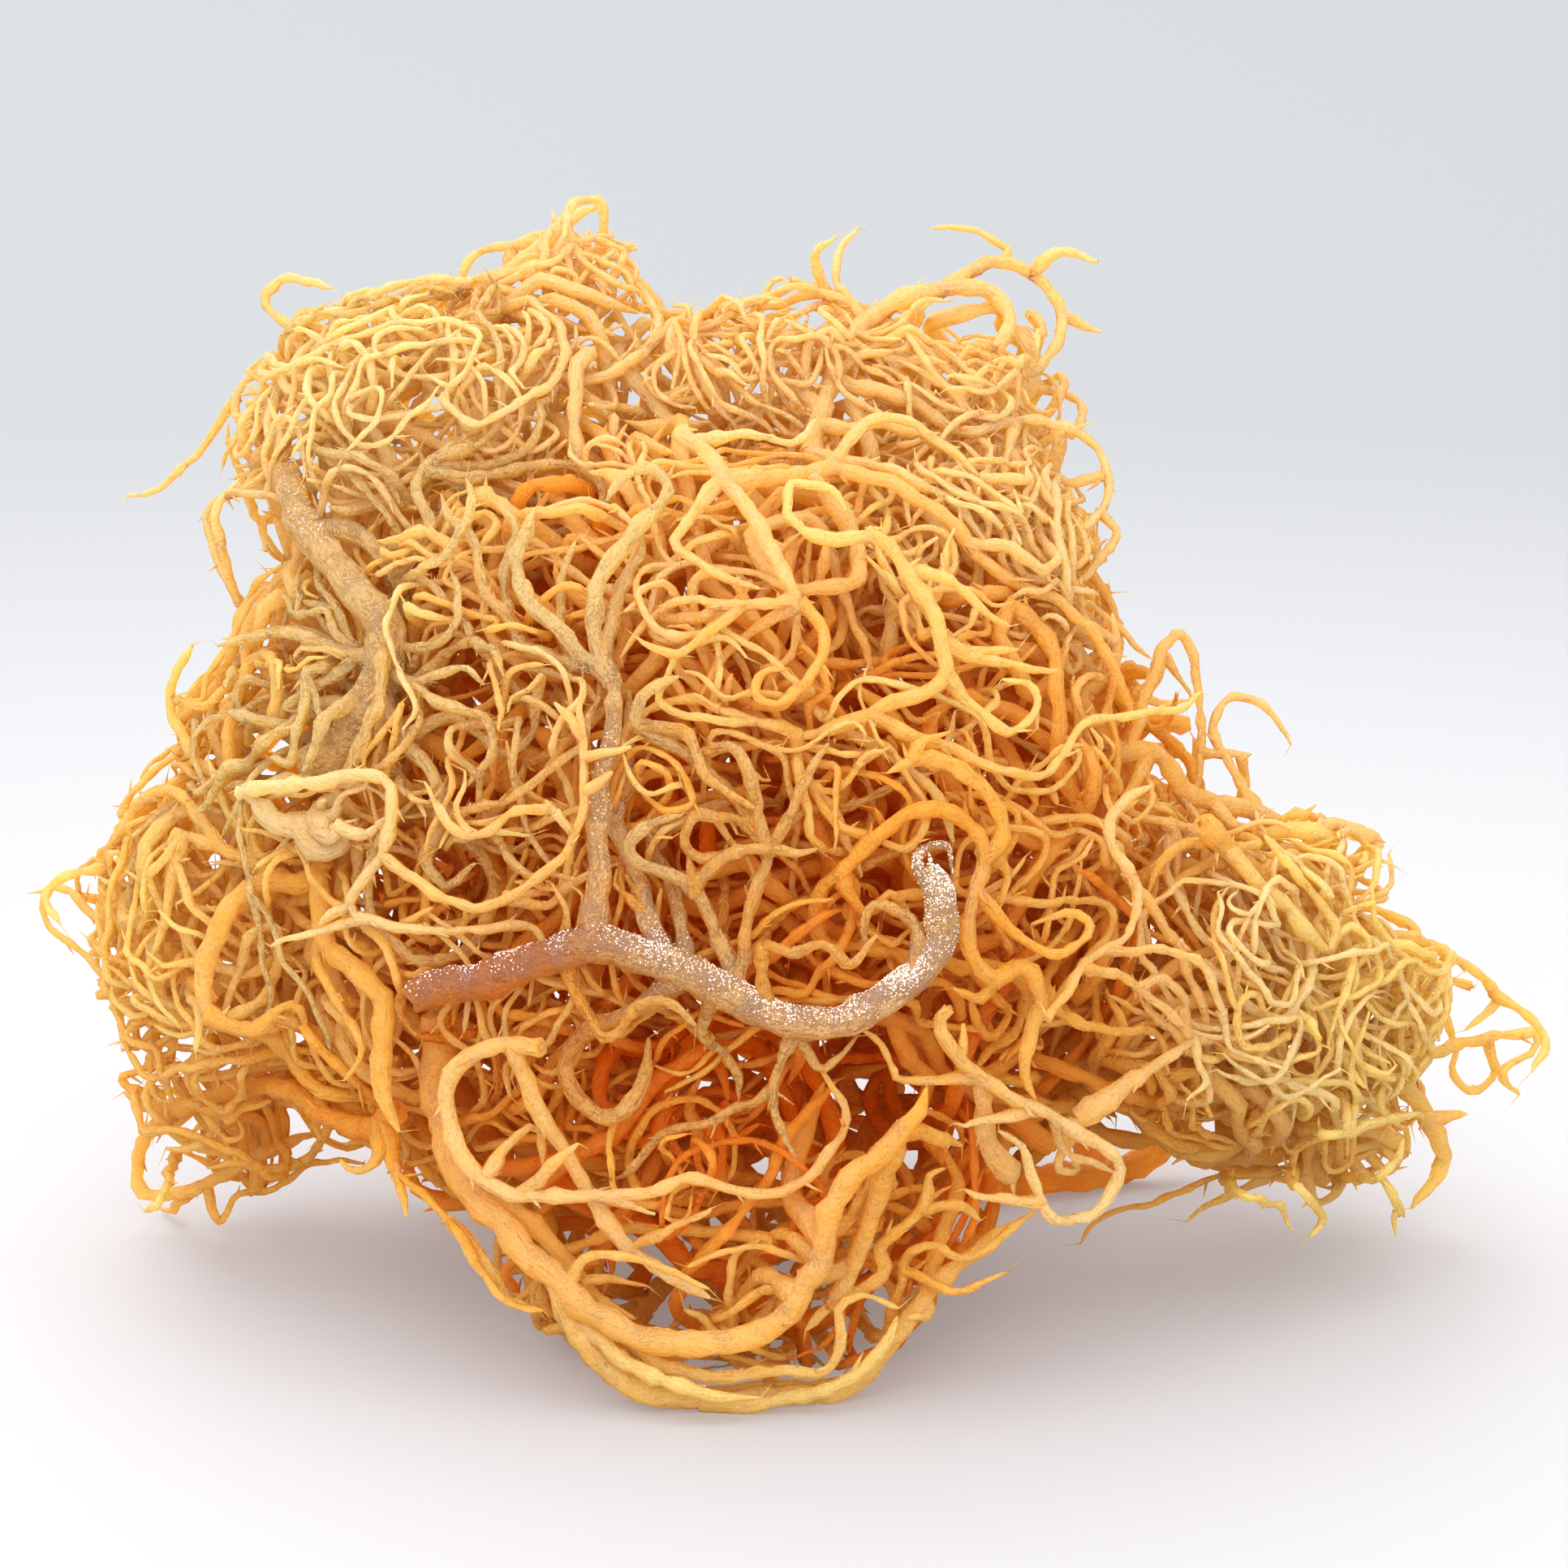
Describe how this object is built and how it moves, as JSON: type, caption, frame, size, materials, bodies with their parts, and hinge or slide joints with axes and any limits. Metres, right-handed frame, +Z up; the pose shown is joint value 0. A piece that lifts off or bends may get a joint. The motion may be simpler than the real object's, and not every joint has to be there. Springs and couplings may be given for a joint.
{
  "type": "golden sea moss clump",
  "caption": "Dried golden sea moss: one loose clump of tangled, forking, tapering fronds that rests on a surface.",
  "frame": {"origin": "middle of the clump's outline on the surface that it rests on", "axes": "+Z up, +X to the clump's right as the picture sees it, +Y away from the picture's camera"},
  "size_m": [0.1289, 0.085, 0.0875],
  "materials": {
    "deep_flesh": "dried seaweed, deep orange-brown, slightly translucent, waxy",
    "golden_flesh": "dried seaweed, golden orange, slightly translucent, waxy",
    "pale_flesh": "dried seaweed, pale golden yellow, slightly translucent, waxy",
    "dusty_flesh": "dried seaweed, tan orange under a dusting of pale salt, mostly matt"
  },
  "bodies": {
    "root": {"dusty_stem": "dusty_flesh", "bright_frond": "pale_flesh", "hooked_strand": "pale_flesh", "foot_loop": "golden_flesh", "right_sprig": "pale_flesh", "fork_frond": "pale_flesh", "arc_frond": "golden_flesh", "elbow_frond": "golden_flesh", "centre_frond": "pale_flesh", "left_dusty_stem": "dusty_flesh", "left_wing": "golden_flesh", "lower_left": "golden_flesh", "right_wing": "golden_flesh", "right_upper": "pale_flesh", "crown_left": "pale_flesh", "crown_right": "pale_flesh", "heart_left": "deep_flesh", "heart_right": "deep_flesh", "heart_foot": "deep_flesh", "back_left": "golden_flesh", "back_right": "golden_flesh", "back_top": "pale_flesh"}
  },
  "joints": []
}
